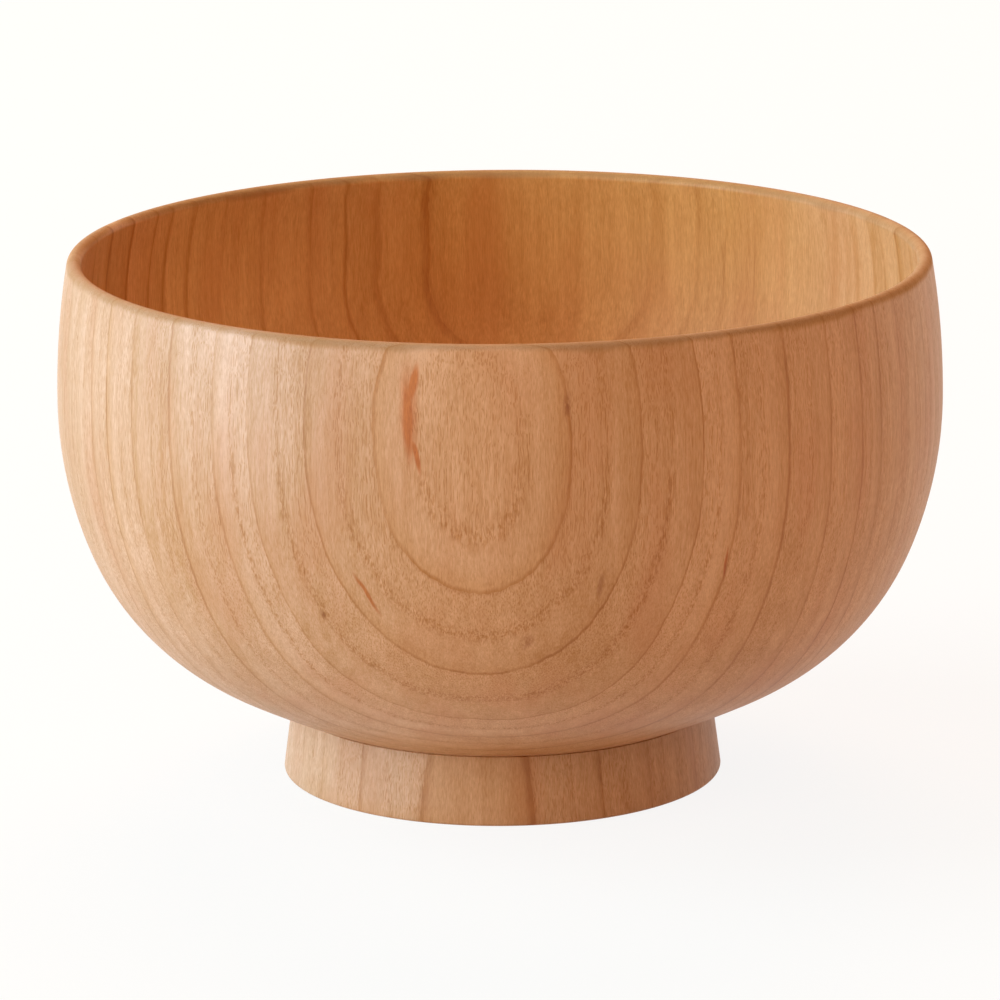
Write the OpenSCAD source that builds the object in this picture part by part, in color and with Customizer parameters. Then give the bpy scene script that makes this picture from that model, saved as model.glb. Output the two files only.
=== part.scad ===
// Turned cherry-wood soup bowl standing on a foot ring.
// Lengths are in millimetres and angles in degrees. The bowl's axis is Z and it stands on z = 0.

/* [Bowl outside] */
// Widest outside diameter
bowl_d = 120; // [108:1:136]
// Height from the table to the top of the lip
bowl_h = 72; // [64:0.5:84]
// Height of the widest point, the belly
belly_z = 52.5; // [48:0.5:57]
// Radius of the outside curve between the belly and the lip
shoulder_r = 110; // [80:1:200]
// Radius of the outside curve just below the belly
side_r = 53; // [46:0.5:60]
// Slope at which the side curve runs into the hip curve
side_end_slope = 22.5; // [16:0.5:30]
// Slope at which the hip curve runs into the base curve
hip_end_slope = 62.5; // [56:0.5:68]
// Radius of the shallow base curve between the hip and the foot
base_r = 150; // [100:1:300]

/* [Bowl inside] */
// Thickness of the rounded lip
lip_t = 2; // [1.6:0.1:3]
// Height of the inside's widest point, a little under the lip
inner_belly_z = 61; // [56:0.5:66]
// Radius of the inside curve from the lip to the hip
inner_side_r = 66; // [56:1:80]
// How much tighter the inside curve is than the outside one at the hip
wall_t = 4; // [3:0.1:6]
// Thickness of the floor above the foot's seat
floor_t = 4.6; // [3:0.1:7]
// Radius of the dished floor
floor_r = 200; // [120:5:400]

/* [Foot ring] */
// Diameter where the bowl meets the foot ring
neck_d = 57.6; // [50:0.2:66]
// Height of the foot ring
foot_h = 9.4; // [7:0.2:12]
// How far the foot ring spreads from its neck to the table
foot_flare = 1.2; // [0:0.1:3]
// Width of the foot ring at its top
ring_w = 6; // [4:0.2:9]
// Radius of the foot ring's outer bottom edge
outer_edge_r = 0.4; // [0.2:0.1:1]
// Radius of the foot ring's inner bottom edge
inner_edge_r = 1; // [0.3:0.1:1.5]

/* [Joint of bowl and foot ring] */
// Depth of the spigot that sits in the foot ring
spigot_h = 3.4; // [2:0.2:5]
// Width of the glue line around the spigot
glue_gap = 0.1; // [0.05:0.05:0.3]

/* [Hidden] */
$fn = 180;
wood = "#d8a67c";

// Curves that run into each other overlap by this much, so that they cross instead of only touching.
overlap = 0.002;
// Degrees by which the tighter of two curves is carried on behind the other.
spare = 3;

// A point of an outline is [radius, height]. A slope is 0 where the outside wall is upright
// and 90 where it is level, and away() points from a curve's centre to the place of that slope.
function away(slope) = [cos(slope), -sin(slope)];
function slope_at(centre, p) = atan2(centre[1] - p[1], p[0] - centre[0]);

// Outside curves. Each one runs into the next with no corner, and the base curve ends at the neck.
belly = [bowl_d / 2, belly_z];
neck = [neck_d / 2, foot_h];
shoulder_c = belly - [shoulder_r, 0];
side_c = belly - [side_r, 0];
side_end = side_c + side_r * away(side_end_slope);

// The hip radius is the one that brings the base curve to the neck: hip_r = h solves
// |neck_offset - h * hip_turn| = base_r, which is a quadratic in h.
hip_turn = away(hip_end_slope) - away(side_end_slope);
neck_offset = neck - side_end + base_r * away(hip_end_slope);
hip_mid = neck_offset * hip_turn;
hip_gap = neck_offset * neck_offset - base_r * base_r;
hip_size = hip_turn * hip_turn;
hip_r = (hip_mid - sqrt(hip_mid * hip_mid - hip_size * hip_gap)) / hip_size;
hip_c = side_end - hip_r * away(side_end_slope);
hip_end = hip_c + hip_r * away(hip_end_slope);
base_c = hip_end - base_r * away(hip_end_slope);

// The lip is a full round that runs into the shoulder curve.
lip_r = lip_t / 2;
lip_slope = -asin((bowl_h - lip_r - belly_z) / (shoulder_r - lip_r));
lip_c = shoulder_c + (shoulder_r - lip_r) * away(lip_slope);
lip_outer = shoulder_c + shoulder_r * away(lip_slope);

// Inside, one curve runs from the lip past the inside's widest point to the hip.
lip_rise = lip_c[1] - inner_belly_z;
inner_side_c = [lip_c[0] - sqrt(pow(inner_side_r + lip_r, 2) - lip_rise * lip_rise), inner_belly_z];
upper_slope = slope_at(inner_side_c, lip_c);
lip_inner = inner_side_c + inner_side_r * away(upper_slope);

// The inner hip touches the inner side curve and the dished floor, so its centre lies
// at known distances from the centres of both.
inner_hip_r = hip_r - wall_t;
floor_z = foot_h + floor_t;
floor_c = [0, floor_z + floor_r];
hip_from_side = inner_side_r - inner_hip_r;
hip_from_floor = floor_r - inner_hip_r;
side_to_floor = norm(floor_c - inner_side_c);
up = (floor_c - inner_side_c) / side_to_floor;
hip_up = (pow(hip_from_side, 2) - pow(hip_from_floor, 2) + pow(side_to_floor, 2)) / (2 * side_to_floor);
hip_out = sqrt(pow(hip_from_side, 2) - hip_up * hip_up);
inner_hip_c = inner_side_c + hip_up * up + hip_out * [up[1], -up[0]];
inner_hip_slope = slope_at(inner_side_c, inner_hip_c);
floor_slope = slope_at(floor_c, inner_hip_c);
inner_hip_top = inner_side_c + inner_side_r * away(inner_hip_slope);
inner_hip_end = floor_c + floor_r * away(floor_slope);

// The foot ring takes the spigot under the bowl and spreads from the neck to the table.
ring_in_r = neck_d / 2 - ring_w;
ring_out_r = neck_d / 2 + foot_flare;
spigot_r = ring_in_r - glue_gap;

// A disc's edge between two slopes, with some of what lies behind it.
module edge_strip(centre, r, from, to) {
    intersection() {
        translate(centre) circle(r);
        polygon([
            centre + 0.9 * r * away(from),
            centre + 1.1 * r * away(from),
            centre + 1.1 * r * away((from + to) / 2),
            centre + 1.1 * r * away(to),
            centre + 0.9 * r * away(to)
        ]);
    }
}

// A quarter of a disc, in the given corner of the square around it.
module quarter(centre, r, turn) translate(centre) rotate(turn) intersection() {
    circle(r);
    square(r);
}

module outside_outline() {
    polygon([
        [0, foot_h], [ring_in_r, foot_h], hip_end, side_end, belly,
        lip_outer, lip_c, lip_inner, [0, lip_inner[1]]
    ]);
    edge_strip(shoulder_c, shoulder_r, lip_slope, 0);
    edge_strip(side_c, side_r + overlap, -spare, side_end_slope);
    edge_strip(hip_c, hip_r + 2 * overlap, side_end_slope - spare, hip_end_slope + spare);
    edge_strip(base_c, base_r, hip_end_slope, slope_at(base_c, neck) + spare);
}

module inside_outline() {
    polygon([[0, bowl_h], lip_inner, inner_hip_top, inner_hip_end, [0, floor_z]]);
    edge_strip(inner_side_c, inner_side_r, upper_slope, inner_hip_slope);
    edge_strip(inner_hip_c, inner_hip_r + overlap, inner_hip_slope - spare, floor_slope + spare);
    edge_strip(floor_c, floor_r, floor_slope, 90);
}

module bowl_outline() {
    difference() {
        intersection() {
            outside_outline();
            translate([0, foot_h]) square([bowl_d, bowl_h]);
        }
        inside_outline();
    }
    translate(lip_c) circle(lip_r + overlap);
    translate([0, foot_h - spigot_h]) square([spigot_r, spigot_h]);
}

module foot_ring_outline() {
    polygon([
        [ring_in_r, foot_h], [ring_in_r, inner_edge_r], [ring_in_r + inner_edge_r, 0],
        [ring_out_r - outer_edge_r, 0], [ring_out_r, outer_edge_r], neck
    ]);
    quarter([ring_in_r + inner_edge_r, inner_edge_r], inner_edge_r, 180);
    quarter([ring_out_r - outer_edge_r, outer_edge_r], outer_edge_r, 270);
}

module bowl_body() color(wood) rotate_extrude() bowl_outline();

module foot_ring() color(wood) rotate_extrude() foot_ring_outline();

bowl_body();
foot_ring();
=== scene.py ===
# %% [markdown]
# # A turned cherry-wood soup bowl
# The bowl is one plain turned shape with a thin round lip, a full belly and a low foot ring.
# All of its character is in the wood, so the two shapes are quick to make and most of this lesson
# goes into the growth rings, the fibres and the clear satin finish.
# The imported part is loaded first, as the frame that every new piece has to fit.

# %% Load the frame
import math
import bmesh
import bpy
from mathutils import Matrix, Vector


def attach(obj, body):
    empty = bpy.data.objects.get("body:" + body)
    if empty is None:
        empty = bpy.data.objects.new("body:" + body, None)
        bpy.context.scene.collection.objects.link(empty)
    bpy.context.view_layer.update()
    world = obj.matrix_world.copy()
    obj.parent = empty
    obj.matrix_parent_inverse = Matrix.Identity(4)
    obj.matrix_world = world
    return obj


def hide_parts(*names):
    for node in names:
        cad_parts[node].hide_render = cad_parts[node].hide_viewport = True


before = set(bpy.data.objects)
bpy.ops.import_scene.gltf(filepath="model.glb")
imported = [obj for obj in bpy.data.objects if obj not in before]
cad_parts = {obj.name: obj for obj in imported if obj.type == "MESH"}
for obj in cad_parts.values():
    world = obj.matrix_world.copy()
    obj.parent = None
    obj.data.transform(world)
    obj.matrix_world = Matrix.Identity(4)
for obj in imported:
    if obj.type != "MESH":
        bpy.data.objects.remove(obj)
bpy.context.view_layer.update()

MM = 0.001
print("nodes:", sorted(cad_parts))

# %% [markdown]
# ## Camera
# The bowl was seen from the front through a long lens, 14 degrees above the table, with the camera
# turned a hair about its own line of sight. A camera could be aimed with a constraint, but a fixed
# matrix is easier to read: turn about the line of sight, tip up from straight down, then move.

# %% Camera
lens, sensor_width = 230.8, 36                      # mm
looks_down, leans = 13.998, -0.38                   # degrees
sees_to = 20                                        # metres
stands_at = Vector((-0.12, -848.4, 248.9)) * MM
camera_data = bpy.data.cameras.new("camera")
camera_data.lens = lens
camera_data.sensor_width = sensor_width
camera_data.clip_end = sees_to
camera = bpy.data.objects.new("camera", camera_data)
bpy.context.collection.objects.link(camera)
tip = Matrix.Rotation(math.radians(90 - looks_down), 4, "X")
roll = Matrix.Rotation(math.radians(leans), 4, "Z")
camera.matrix_world = Matrix.Translation(stands_at) @ tip @ roll
bpy.context.scene.camera = camera
print("camera:", [round(v, 3) for v in camera.location], "lens", camera_data.lens, "mm")

# %% [markdown]
# ## Drawing a half outline with arcs
# A turner follows a template, and the template here is a chain of arcs that run into each other.
# The outline could be typed as a list of points, but Blender's spin turns a single point round a
# centre as well. The next arc always sets off in the heading in which the last one ended, so each
# arc is only its radius and the angle that the tool swings through.
# The outline lies in the plane of X and Z. A heading of 0 points along +X, and a swing to the left,
# towards +Z, counts as positive.

# %% Helpers for the outline
def start_point(shape, r, z):
    return shape.verts.new((r * MM, 0, z * MM))


def straight_to(shape, last, r, z, steps=1):
    start = last.co.copy()
    end = Vector((r * MM, 0, z * MM))
    for step in range(1, steps + 1):
        point = shape.verts.new(start.lerp(end, step / steps))
        shape.edges.new((last, point))
        last = point
    return last


def swing(shape, last, heading, radius, degrees, steps):
    to_the_left = Vector((-math.sin(heading), 0, math.cos(heading)))
    centre = last.co + math.copysign(radius * MM, degrees) * to_the_left
    made = bmesh.ops.spin(shape, geom=[last], cent=centre, axis=(0, -1, 0),
                          angle=math.radians(degrees), steps=steps, use_duplicate=False)
    last = [item for item in made["geom_last"] if isinstance(item, bmesh.types.BMVert)][0]
    return last, heading + math.radians(degrees)

# %% Lathe helper
def turn_on_lathe(shape, name, steps=256, weld=0.001, sharp=35):
    bmesh.ops.spin(shape, geom=shape.verts[:] + shape.edges[:], cent=(0, 0, 0), axis=(0, 0, 1),
                   angle=2 * math.pi, steps=steps, use_merge=True)
    bmesh.ops.remove_doubles(shape, verts=shape.verts, dist=weld * MM)
    bmesh.ops.recalc_face_normals(shape, faces=shape.faces)
    mesh = bpy.data.meshes.new(name)
    shape.to_mesh(mesh)
    shape.free()
    mesh.shade_smooth()
    mesh.set_sharp_from_angle(angle=math.radians(sharp))
    piece = bpy.data.objects.new(name, mesh)
    bpy.context.collection.objects.link(piece)
    size = [round(v / MM, 2) for v in piece.dimensions]
    print(name, "size in mm:", size, "faces:", len(mesh.polygons))
    return piece

# %% [markdown]
# ## The bowl
# The outline starts in the middle of the dished floor, climbs the inside, goes over the round lip
# and comes down the outside to the neck. Under the floor is the low spigot that sits in the foot
# ring. Every arc meets the next one without a corner, as a scraper leaves them on real wood.

# %% Bowl body
floor_z, foot_h = 14, 9.4
spigot_r, spigot_z = 22.7, 6
bowl_arcs = [  # arc, radius in mm, swing in degrees, steps
    ("dished floor", 200, 7.84, 10),
    ("inner hip", 31, 57.82, 24),
    ("inner side", 66, 32.92, 20),
    ("round lip", 1, -178.81, 18),
    ("shoulder", 110, -9.77, 10),
    ("side", 53, -22.5, 14),
    ("hip", 35, -40, 20),
    ("base", 150, -4.64, 6)]
template = bmesh.new()
point, heading = start_point(template, 0, floor_z), 0.0
for arc, radius, degrees, steps in bowl_arcs:
    point, heading = swing(template, point, heading, radius, degrees, steps)
    print(arc, "ends at r, z in mm:", round(point.co.x / MM, 2), round(point.co.z / MM, 2))
point = straight_to(template, point, spigot_r, foot_h)
point = straight_to(template, point, spigot_r, spigot_z)
point = straight_to(template, point, 0, spigot_z, steps=4)
bowl = turn_on_lathe(template, "bowl")
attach(bowl, "root")
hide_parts("bowl_body")

# %% [markdown]
# ## The foot ring
# The foot is a plain ring that spreads a little towards the table and is glued round the spigot.
# Its lower edges are rounded so that they don't chip. The upper outer edge is eased by a hair,
# which leaves the fine dark line between the foot and the bowl.

# %% Foot ring
ring_in_r, foot_r, neck_r = 22.8, 30, 28.8
inner_edge_r, outer_edge_r = 1, 0.4
eased_down, eased_in = 0.15, 0.18
flare = (foot_r - neck_r) / (foot_h - outer_edge_r)
template = bmesh.new()
first = start_point(template, ring_in_r, foot_h)
point = straight_to(template, first, ring_in_r, inner_edge_r, steps=3)
point, heading = swing(template, point, math.radians(-90), inner_edge_r, 90, 6)
point = straight_to(template, point, foot_r - outer_edge_r, 0, steps=2)
point, heading = swing(template, point, heading, outer_edge_r, 90, 5)
point = straight_to(template, point, neck_r + eased_down * flare, foot_h - eased_down, steps=4)
point = straight_to(template, point, neck_r - eased_in, foot_h)
template.edges.new((point, first))
foot = turn_on_lathe(template, "foot")
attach(foot, "root")
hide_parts("foot_ring")

# %% [markdown]
# ## Wood as a solid
# Veneer patterns could be painted on, but a turned bowl shows one solid block of wood cut by a
# curved surface, and only a solid pattern gives arches on the front, straight lines at the sides
# and ovals inside. So the colour of a point depends on where it lies in the block.
# First come a few small helpers: one places a node, one does a sum, one fades from one value to
# another, and one makes noise that can be stretched along the fibres.

# %% Node helpers
wood = bpy.data.materials.new("cherry_wood")
wood.use_nodes = True
tree = wood.node_tree
finish = tree.nodes["Principled BSDF"]


def place(kind, inputs=None, **settings):
    made = tree.nodes.new(kind)
    for name, value in settings.items():
        setattr(made, name, value)
    for socket, value in (inputs or {}).items():
        if isinstance(value, bpy.types.NodeSocket):
            tree.links.new(value, made.inputs[socket])
        else:
            made.inputs[socket].default_value = value
    return made


def sums(operation, *values, clamp=False):
    made = place("ShaderNodeMath", dict(enumerate(values)), operation=operation, use_clamp=clamp)
    return made.outputs[0]


def vector_sum(operation, *values):
    return place("ShaderNodeVectorMath", dict(enumerate(values)), operation=operation).outputs[0]

# %% Fades and grain
def fade(value, low, high, to_low=0.0, to_high=1.0):
    made = place("ShaderNodeMapRange", {0: value, 1: low, 2: high, 3: to_low, 4: to_high},
                 interpolation_type="SMOOTHSTEP")
    return made.outputs[0]


def grain(scale, stretch, detail=2.0, roughness=0.5):
    turned = place("ShaderNodeMapping", {"Vector": in_mm, "Scale": stretch}).outputs[0]
    return place("ShaderNodeTexNoise", {"Vector": turned, "Scale": scale, "Detail": detail,
                                        "Roughness": roughness}).outputs


place_in_block = place("ShaderNodeTexCoord").outputs["Object"]
in_mm = place("ShaderNodeMapping", {"Vector": place_in_block, "Scale": (1 / MM,) * 3}).outputs[0]
print("material", wood.name, "starts with", len(tree.nodes), "nodes")

# %% [markdown]
# ## Growth rings
# The block comes from well outside the middle of a trunk that lay in front of the bowl. There the
# rings are nearly flat sheets, upright and facing the viewer, that lean and swell a little as the
# trunk does. Depth into the trunk is then the distance towards the back plus a gentle curve over
# the width and over the height, with a last turn outwards high up at the back. A slow wobble moves
# the sheets, because no tree grows evenly.

# %% Depth into the trunk
unit, middle_z = 30, 40                             # mm, to count width and height from the middle
half = (0.5, 0.5, 0.5)                              # the middle of a noise
wobble = vector_sum("SUBTRACT", grain(0.075, (1, 1, 0.4))["Color"], half)
wobble = vector_sum("MULTIPLY", wobble, (2.4, 0.5, 2.4))
axes = place("ShaderNodeSeparateXYZ", {0: vector_sum("ADD", in_mm, wobble)}).outputs
across = sums("DIVIDE", axes["X"], unit)
height = sums("MULTIPLY_ADD", axes["Z"], 1 / unit, -middle_z / unit)
swell = sums("MULTIPLY_ADD", height, 1.74, -4.42)
swell.node.name = "swell_curve"
swell = sums("MULTIPLY_ADD", swell, height, 1.53)
swell.node.name = "swell_lean"
swell = sums("MULTIPLY_ADD", swell, height, 0)
swell.node.name = "swell_shift"
bend = sums("MULTIPLY_ADD", across, 2.02, 2.06)
bend.node.name = "bend_tilt"
bend = sums("MULTIPLY_ADD", height, 0.46, bend)
depth = sums("MULTIPLY_ADD", bend, across, axes["Y"])
shake = sums("MULTIPLY_ADD", grain(0.8, (1, 1, 0.3))["Fac"], 0.2, -0.1)
lift = sums("MULTIPLY", fade(axes["Z"], 58, 80, 0.0, 2.5), fade(axes["Y"], 30, 50))
depth = sums("ADD", sums("ADD", depth, swell), sums("ADD", shake, lift))
print("depth runs from about -60 mm at the front to 60 mm at the back")

# %% [markdown]
# A year's growth ends in a thin dark line. The years are not alike: narrow ones near the front,
# broad ones at the sides, and a tight group at the back, some lines clear and others faint. Each
# pair below is the depth and the strength of such a line. One colour ramp turns depth into a count
# of years: its whole part names the year, and the rest says how far that year has got. A second
# ramp, in steps, holds each year's breadth, so that a line is as thin in a broad year as in a
# narrow one.

# %% Ramp helper
def stops(value, marks, interpolation="LINEAR"):
    ramp = place("ShaderNodeValToRGB", {"Fac": value})
    ramp.color_ramp.interpolation = interpolation
    band = ramp.color_ramp.elements
    while len(band) < len(marks):
        band.new(1.0)
    for stop, (position, colour) in zip(band, marks):
        stop.position = position
        if isinstance(colour, (int, float)):
            colour = (colour, colour, colour)
        stop.color = (*colour, 1.0)
    return ramp.outputs["Color"]

# %% Years
year_ends = [  # depth in mm, strength
    (-60.7, 0.4), (-58.58, 0.95), (-55.29, 0.8), (-50.74, 0.55), (-47.2, 0.7), (-41.2, 0.8),
    (-34.55, 0.55), (-28.5, 1.0), (-24.2, 0.5), (-18.36, 0.35), (-13.2, 0.3), (-8.9, 0.35),
    (-3.2, 0.25), (2.6, 0.25), (8.2, 0.25), (13.4, 0.4), (19.4, 1.0), (25.3, 1.0), (30.2, 0.42),
    (33.1, 0.5), (36.8, 0.38), (41.2, 0.2), (45.6, 0.25), (49.66, 0.35), (51.85, 0.55),
    (53.35, 0.35), (55.3, 0.6), (58.2, 0.3)]
front, back, broadest = -66, 66, 8
span = back - front
ends = [front] + [end for end, strength in year_ends] + [back]
strengths = [0.4] + [strength for end, strength in year_ends] + [0.4]
breadths = [later - end for end, later in zip(ends, ends[1:])]
marks = [(end - front) / span for end in ends]
years = len(breadths)
depth_share = sums("MULTIPLY_ADD", depth, 1 / span, -front / span)
count = stops(depth_share, [(mark, i / years) for i, mark in enumerate(marks)])
count = sums("MULTIPLY", count, years)
year = sums("FLOOR", count)
season = sums("FRACT", count)
steps = [(marks[i], (breadths[i] / broadest, strengths[i], strengths[i + 1])) for i in range(years)]
steps = place("ShaderNodeSeparateColor", {0: stops(depth_share, steps, "CONSTANT")}).outputs
breadth = sums("MULTIPLY", steps[0], broadest)
first_strength, last_strength = steps[1], steps[2]
print(years, "years, from", round(min(breadths), 2), "to", round(max(breadths), 2), "mm broad")

# %% [markdown]
# ## Lines, pores and fibres
# Each year starts with pale wood full of pores, ends the porous part with a dotted row of them,
# gets denser and darker and closes with the line. The lines are finest at the front, where the cut
# runs flat along the sheets, and clearest on the right of the front and on the left of the back.
# Pores are thin tubes along the trunk: dashes where the cut runs along them and dots where it
# crosses them. A flat pattern of round cells that is the same at every height gives such tubes, and
# a slight sway keeps them from running on too straight. Finer fibres are noise stretched along Z.

# %% Year lines
fineness = sums("MULTIPLY", fade(depth, -57, -42, 3.0, 1.0), fade(depth, -5, 22, 1.0, 0.6))
fineness = sums("MULTIPLY", fineness, fade(depth, 40, 54, 1.0, 2.2))
since = sums("MULTIPLY", sums("MULTIPLY", season, breadth), fineness)
until = sums("MULTIPLY", sums("MULTIPLY", sums("SUBTRACT", 1, season), breadth), fineness)
line = sums("MULTIPLY", fade(until, 0.4, 0.05), last_strength)
line = sums("MAXIMUM", line, sums("MULTIPLY", fade(since, 0.22, 0.0), first_strength))
line_patch = fade(grain(0.14, (1, 1, 0.35))["Fac"], 0.3, 0.62, 0.5, 1.2)
line = sums("MULTIPLY", line, line_patch)
clear_front = fade(axes["X"], -25, 25, 0.85, 1.15)
clear_back = fade(axes["X"], -25, 25, 1.5, 0.5)
change = sums("SUBTRACT", clear_back, clear_front)
line = sums("MULTIPLY", line, sums("MULTIPLY_ADD", change, fade(depth, -10, 10), clear_front))
late = sums("MULTIPLY", fade(until, 2.4, 0.1), last_strength)
late = sums("MULTIPLY", late, fade(season, 0.45, 0.95))
print("year lines are ready")

# %% Pores
row_season = 0.45                                   # when in the year the porous part ends
porous = stops(season, [(0.0, 0.85), (0.2, 0.7), (0.36, 0.55), (0.42, 1.0), (0.47, 1.0),
                        (0.53, 0.3), (0.7, 0.15), (1.0, 0.1)])
sway = vector_sum("MULTIPLY_ADD", grain(0.5, (1, 1, 0.6))["Color"], (0.9, 0.9, 0), in_mm)
cells = place("ShaderNodeTexVoronoi", {"Vector": sway, "Scale": 4.4}, voronoi_dimensions="2D")
bore = sums("MULTIPLY_ADD", porous, -0.24, cells.outputs["Distance"])
pores = sums("MULTIPLY", fade(bore, 0.13, -0.02), fade(depth, -5, 20, 1.0, 0.3))
row = fade(sums("ABSOLUTE", sums("SUBTRACT", season, row_season)), 0.13, 0.01)
row = sums("MULTIPLY", row, fade(grain(2.6, (1, 1, 0.4), detail=3.0)["Fac"], 0.42, 0.66))
row = sums("MULTIPLY", row, fade(depth, -50, -38, 1.0, 0.35))
row = sums("MULTIPLY", row, fade(axes["Z"], 48, 62, 1.0, 0.15))
print("pores are ready")

# %% Fibres, flecks and clouds
fibres = grain(6.0, (1, 1, 0.1), detail=1.0)["Fac"]
strands = grain(1.8, (1, 1, 0.025), detail=3.0, roughness=0.65)["Fac"]
streaks = grain(0.5, (1, 1, 0.05))["Fac"]
flecks = grain(1.3, (4.5, 0.12, 1.0))["Fac"]
clouds = grain(0.05, (1, 1, 0.6), detail=1.0)["Fac"]
flush = grain(0.13, (1, 1, 0.25))["Fac"]
print("fibres, flecks and clouds are ready")

# %% [markdown]
# ## Gum streaks
# Cherry wood keeps small pockets of gum, thin orange-brown lenses that lie along the fibres in
# one year's sheet. Each one is an ellipsoid with a wavy edge, put where the bowl shows one.
# The longest is a broad soft lens with a darker middle, and the small dark ones are specks.

# %% Gum streaks
def lenses(found, core):
    most = 0.0
    for centre, half_size, lean, strength in found:
        lens_place = {"Vector": wavy, "Location": centre, "Rotation": (0, math.radians(lean), 0),
                      "Scale": half_size}
        inside_lens = place("ShaderNodeMapping", lens_place, vector_type="TEXTURE").outputs[0]
        reach = place("ShaderNodeVectorMath", {0: inside_lens}, operation="LENGTH").outputs["Value"]
        most = sums("MAXIMUM", most, fade(reach, 1.0, core, 0.0, strength))
    return most


gum_found = [  # centre in mm, half size in mm, lean in degrees, strength
    ((-11.6, -58.2, 63.6), (1.5, 3.5, 7.8), -3, 0.6),
    ((-11.7, -58.2, 62.6), (1.05, 3.5, 7.4), -2, 1.0),
    ((-11.1, -58.3, 67.0), (0.7, 3.5, 3.6), 8, 1.0),
    ((-10.7, -58.5, 57.9), (0.5, 3.5, 3.2), -12, 1.0),
    ((-17.3, -55.5, 39.0), (0.36, 3, 4.2), -32, 1.0),
    ((28.8, -51.3, 41.6), (0.25, 3, 3.0), 4, 1.0)]
specks_found = [
    ((8.6, -58.7, 64.2), (0.8, 3, 2.6), 0, 1.0),
    ((-23.0, -52.3, 35.4), (0.4, 3, 1.2), -20, 1.0),
    ((3.2, -56.0, 32.6), (1.1, 3, 1.9), 40, 1.0),
    ((12.8, -57.2, 40.2), (0.6, 3, 2.6), 8, 1.0)]
wavy = vector_sum("SUBTRACT", grain(0.35, (1, 1, 0.3))["Color"], half)
wavy = vector_sum("ADD", vector_sum("MULTIPLY", wavy, (1.8, 0, 0)), in_mm)
gum = lenses(gum_found, core=0.4)
speck = lenses(specks_found, core=0.0)
speck = sums("MULTIPLY", speck, fade(grain(1.4, (1, 1, 0.6))["Fac"], 0.25, 0.45))
print(len(gum_found), "gum lenses and", len(specks_found), "specks placed")

# %% [markdown]
# ## Colour and satin finish
# Natural cherry is a light orange tan. The tones are mixed from the widest to the finest: clouds,
# streaks and fibres, a flush and flecks. Inside the bowl a golden tone of painted bounce light, the
# warm light that bounces between the walls, grows towards its back. There it turns from a painted
# lighter honey tone on the shaded left to an amber one in the middle. A ball that passes between
# the two faces of the wall tells the inside from the outside. The shaded right of the front gets a
# little rosy painted shade, and the lit left side is paler with a painted sheen. The late wood, the
# lines and the pores then darken what lies under them, blue the most and red the least, so that
# they stay a warm brown.
# A thin clear coat leaves a satin surface, a little duller in the pores, with a relief of a few
# hundredths of a millimetre. The lip is cut across the fibres and soaks up the coat, so it has
# hardly any shine. It is also browner, partly as real end grain and partly as painted shade over
# the lit top of the lip.

# %% Colour
def paint(hex_code):
    channels = [int(hex_code[i:i + 2], 16) / 255 for i in (1, 3, 5)]
    return tuple(c / 12.92 if c <= 0.04045 else ((c + 0.055) / 1.055) ** 2.4 for c in channels)


def blend(amount, under, over, how="MIX"):
    made = place("ShaderNodeMix", data_type="RGBA", blend_type=how)
    for socket, value in ((0, amount), (6, under), (7, over)):
        if isinstance(value, bpy.types.NodeSocket):
            tree.links.new(value, made.inputs[socket])
        else:
            made.inputs[socket].default_value = value if socket == 0 else (*value, 1.0)
    return made.outputs[2]


year_tone = place("ShaderNodeTexWhiteNoise", {"W": year}, noise_dimensions="1D").outputs["Value"]
body_tone = sums("MULTIPLY_ADD", clouds, 0.8, sums("MULTIPLY_ADD", year_tone, 0.25, -0.23))
body_tone = sums("MULTIPLY_ADD", streaks, 0.9, sums("SUBTRACT", body_tone, 0.4))
body_tone = sums("MULTIPLY_ADD", strands, 0.9, sums("SUBTRACT", body_tone, 0.4))
body_tone = sums("MULTIPLY_ADD", fibres, 1.2, sums("SUBTRACT", body_tone, 0.57), clamp=True)
colour = blend(body_tone, paint("#d39e75"), paint("#b1773f"))
colour = blend(fade(flush, 0.45, 0.72, 0.0, 0.4), colour, paint("#bd7848"))
colour = blend(fade(flecks, 0.35, 0.72, 0.0, 0.2), colour, paint("#aa703e"))
print("ground colour mixed with", len(tree.nodes), "nodes")

# %% Tones of the block, painted light and shade, and dark marks
ball_centre, ball_r, soft_edge = (0, 0, 60), 58.7, 0.7
from_centre = {0: in_mm, 1: ball_centre}
reach = place("ShaderNodeVectorMath", from_centre, operation="DISTANCE").outputs["Value"]
inside = fade(reach, ball_r, ball_r - soft_edge)
# Painted bounce light: the golden and amber tones stand in for warm light bouncing inside the bowl,
# and the honey tone paints the shaded inner left wall lighter.
painted_bounce_golden = sums("MULTIPLY", inside, fade(depth, -15, 30))
painted_bounce_amber = sums("MULTIPLY", fade(depth, 38, 54), fade(axes["X"], -28, -5))
painted_bounce_amber = sums("MULTIPLY", inside, painted_bounce_amber)
painted_light_honey = sums("MULTIPLY", fade(depth, 26, 38), fade(axes["X"], -4, -24))
painted_light_honey = sums("MULTIPLY", inside, painted_light_honey)
# Painted shade makes the shaded right of the front rosier, and a painted sheen makes the lit left
# side paler and cooler.
painted_shade_rosy = sums("MULTIPLY", fade(depth, -10, -32), fade(axes["X"], -35, 0))
painted_sheen_pale = sums("MULTIPLY", fade(depth, 8, -8), fade(axes["X"], 0, -34))
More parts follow.
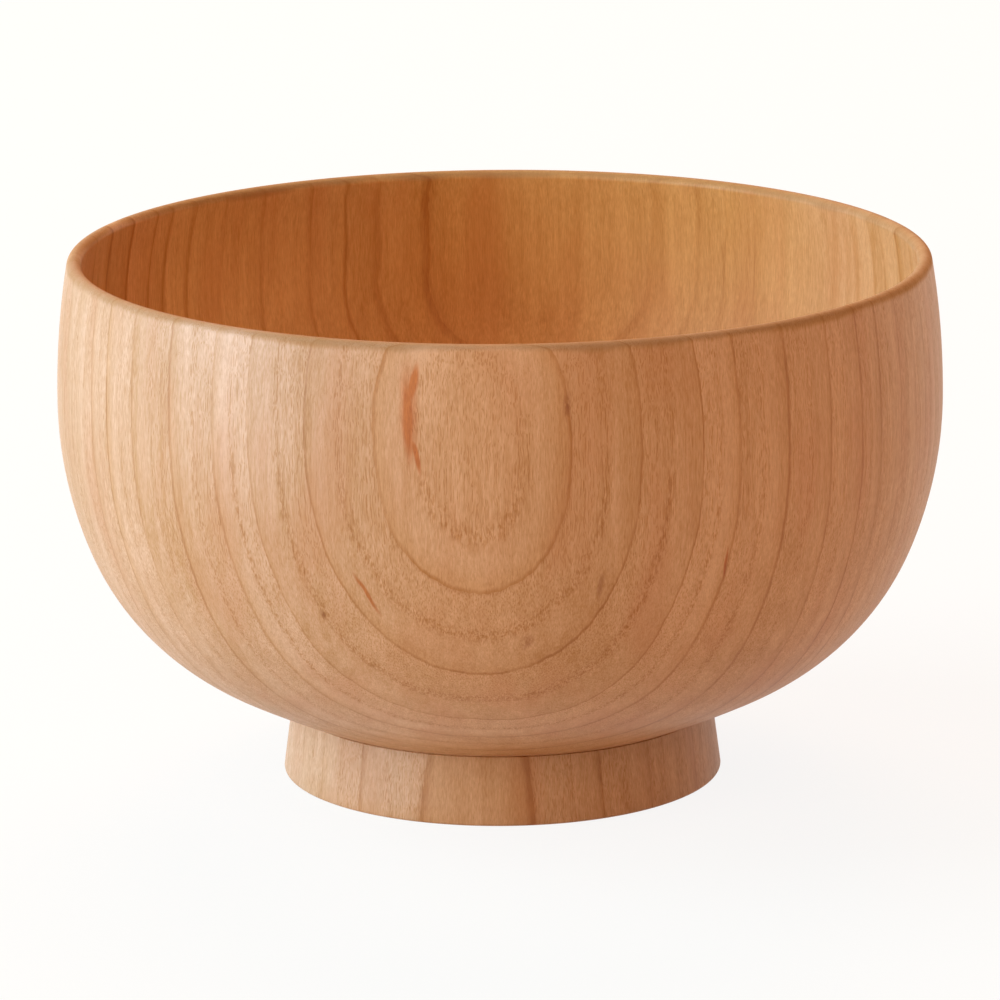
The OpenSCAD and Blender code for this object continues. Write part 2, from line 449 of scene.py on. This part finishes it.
# The first five tints are painted light and shade. The rest are the wood's own marks.
tints = [  # where, and what is left of red, green and blue
    (painted_bounce_golden, (1.08, 0.98, 0.76)), (painted_bounce_amber, (1.0, 0.96, 0.62)), (painted_light_honey, (1.04, 1.16, 1.12)),
    (painted_shade_rosy, (1.0, 0.93, 0.89)), (painted_sheen_pale, (0.98, 1.02, 1.22)),
    (late, (0.91, 0.84, 0.68)), (row, (0.80, 0.66, 0.43)), (line, (0.75, 0.58, 0.30)),
    (pores, (0.84, 0.73, 0.53)), (gum, (0.80, 0.44, 0.15)), (speck, (0.68, 0.52, 0.34))]
for where, tint in tints:
    colour = blend(where, colour, tint, "MULTIPLY")
# The lip's darker brown is partly real end grain and partly painted shade over its lit top.
end_grain_and_painted_shade = fade(axes["Z"], 70.7, 71.7)
colour = blend(sums("MULTIPLY", end_grain_and_painted_shade, 0.55), colour, paint("#a1734f"))
tree.links.new(colour, finish.inputs["Base Color"])
print(len(tints), "tints laid over each other")

# %% Satin finish
dull = sums("MULTIPLY_ADD", pores, 0.1, sums("MULTIPLY_ADD", strands, 0.1, 0.43))
dull = sums("MULTIPLY_ADD", end_grain_and_painted_shade, 0.3, dull)
shine = sums("MULTIPLY_ADD", end_grain_and_painted_shade, -0.4, 0.5)
tree.links.new(dull, finish.inputs["Roughness"])
tree.links.new(shine, finish.inputs["Specular IOR Level"])
finish.inputs["IOR"].default_value = 1.5
relief = sums("SUBTRACT", sums("MULTIPLY", strands, 0.5), sums("MULTIPLY", pores, 0.8))
relief = place("ShaderNodeBump", {"Height": relief, "Strength": 0.35, "Distance": 0.03 * MM})
tree.links.new(relief.outputs["Normal"], finish.inputs["Normal"])
bowl.data.materials.append(wood)
print("wood nodes:", len(tree.nodes))

# %% [markdown]
# The foot is turned from another piece of the same board. There the sheets stand almost straight
# over the foot's small height and lie a little aslant, so its copy of the wood swaps the swell for
# a slight lean and turns the sheets to the left.

# %% Wood of the foot
foot_wood = wood.copy()
foot_wood.name = "foot_wood"
foot_nodes = foot_wood.node_tree.nodes
foot_sheets = [  # sum in the depth, its input, value
    ("swell_curve", 1, 0), ("swell_curve", 2, 0), ("swell_lean", 2, -3), ("swell_shift", 2, -3.5),
    ("bend_tilt", 2, 4.4)]
for name, socket, value in foot_sheets:
    foot_nodes[name].inputs[socket].default_value = value
foot.data.materials.append(foot_wood)
print("foot wood:", len(foot_nodes), "nodes")

# %% [markdown]
# ## Table and light
# The bowl stands on a plain white table in a soft daylight studio. Where the table and the backdrop
# are looked at, directly or in a reflection, they are white, and the table's own shading only adds
# the soft shadow under the foot. The main light is a large soft window on the left, a little cool,
# made of three lamps side by side. A warm lamp behind fills the inside of the bowl, and weak warm
# ones in front and on the right keep the shade from going grey.

# %% Table
def looked_at():
    rays = place("ShaderNodeLightPath").outputs
    seen = sums("MAXIMUM", rays["Is Camera Ray"], rays["Is Glossy Ray"])
    return sums("MAXIMUM", seen, rays["Is Transmission Ray"])


half_width, white_share = 3, 0.88                   # metres, and how much of the look is white
paper_tone = (0.88, 0.76, 0.60)
grid = bmesh.new()
bmesh.ops.create_grid(grid, x_segments=1, y_segments=1, size=half_width)
table_mesh = bpy.data.meshes.new("table")
grid.to_mesh(table_mesh)
grid.free()
table = bpy.data.objects.new("table", table_mesh)
bpy.context.collection.objects.link(table)
white = bpy.data.materials.new("white_table")
white.use_nodes = True
tree = white.node_tree
tree.nodes.clear()
paper = place("ShaderNodeBsdfDiffuse", {"Color": (*paper_tone, 1)})
glow = place("ShaderNodeEmission", {"Color": (1, 1, 1, 1), "Strength": 1.0})
shown = sums("MULTIPLY", looked_at(), white_share)
mixed = place("ShaderNodeMixShader", {0: shown, 1: paper.outputs[0], 2: glow.outputs[0]})
place("ShaderNodeOutputMaterial", {"Surface": mixed.outputs[0]})
table_mesh.materials.append(white)
print("table is", table.dimensions.x, "m wide")

# %% Lamps
lamp_width, aim_at = 0.9, Vector((0, 0, 0.04))      # metres
lamps = [  # name, place in metres, watts, tint
    ("window_high", (-0.990, 0, 1.030), 10.5, (0.58, 0.79, 1.0)),
    ("window_side", (-1.298, 0, 0.564), 17.5, (0.44, 0.76, 1.0)),
    ("window_front", (-1.194, -0.635, 0.330), 17.5, (0.58, 0.85, 1.0)),
    ("back", (0, 0.990, 1.030), 16.8, (1.0, 0.68, 0.40)),
    ("warm_right", (1.174, 0, 0.802), 4.9, (1.0, 0.77, 0.51)),
    ("warm_front", (0, -1.170, 0.860), 5.5, (1.0, 0.62, 0.33))]
for name, stand, watts, tint in lamps:
    lamp_data = bpy.data.lights.new(name, "AREA")
    lamp_data.shape = "SQUARE"
    lamp_data.size = lamp_width
    lamp_data.energy = watts
    lamp_data.color = tint
    lamp = bpy.data.objects.new(name, lamp_data)
    bpy.context.collection.objects.link(lamp)
    turn = (aim_at - Vector(stand)).to_track_quat("-Z", "Y").to_matrix().to_4x4()
    lamp.matrix_world = Matrix.Translation(stand) @ turn
    print(name, watts, "W at", stand)

# %% Backdrop
unseen_light = 0.02                                 # the backdrop's strength as a light
world = bpy.data.worlds.new("studio")
bpy.context.scene.world = world
world.use_nodes = True
tree = world.node_tree
tree.nodes.clear()
strength = sums("MULTIPLY_ADD", looked_at(), 1 - unseen_light, unseen_light)
sky = place("ShaderNodeBackground", {"Color": (1, 1, 1, 1), "Strength": strength})
place("ShaderNodeOutputWorld", {"Surface": sky.outputs[0]})
bpy.context.scene.view_settings.view_transform = "Standard"
print("backdrop is white and lights with", unseen_light)
